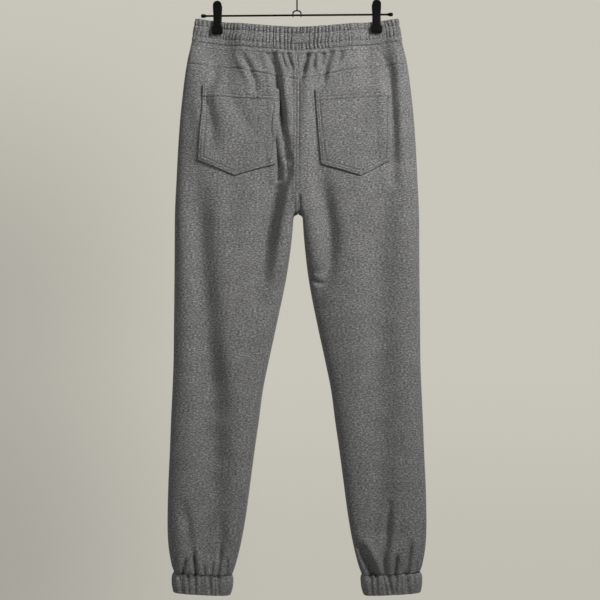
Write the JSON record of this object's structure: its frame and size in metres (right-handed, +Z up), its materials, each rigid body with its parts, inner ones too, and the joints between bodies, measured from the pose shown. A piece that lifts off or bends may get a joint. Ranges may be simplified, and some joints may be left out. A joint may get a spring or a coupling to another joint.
{
  "type": "jogger sweatpants on a clip hanger",
  "caption": "Marl fleece joggers with gathered waistband and cuffs, back yoke and two patch pockets, hung by the waistband from a wire hanger with two clips.",
  "frame": {"origin": "under the crown of the hanger's hook, where a rail carries it", "axes": "+Z up, along the legs; the garment's back faces -Y and its front faces +Y; X runs across the waist, with the wearer's right leg at +X"},
  "size_m": [0.4524, 0.0865, 1.0997],
  "materials": {
    "fleece": "matt brushed marl fleece",
    "clip_plastic": "satin black",
    "wire": "satin black"
  },
  "bodies": {
    "root": {"waistband": "fleece", "back_yoke_left": "fleece", "back_leg_left": "fleece", "front_leg_left": "fleece", "cuff_left": "fleece", "back_pocket_left": "fleece", "back_yoke_right": "fleece", "back_leg_right": "fleece", "front_leg_right": "fleece", "cuff_right": "fleece", "back_pocket_right": "fleece", "hanger_rod": "wire", "hanger_hook": "wire", "hanger_knob_left": "clip_plastic", "clip_back_jaw_left": "clip_plastic", "clip_front_jaw_left": "clip_plastic", "clip_spring_left": "wire", "hanger_knob_right": "clip_plastic", "clip_back_jaw_right": "clip_plastic", "clip_front_jaw_right": "clip_plastic", "clip_spring_right": "wire"}
  },
  "joints": []
}
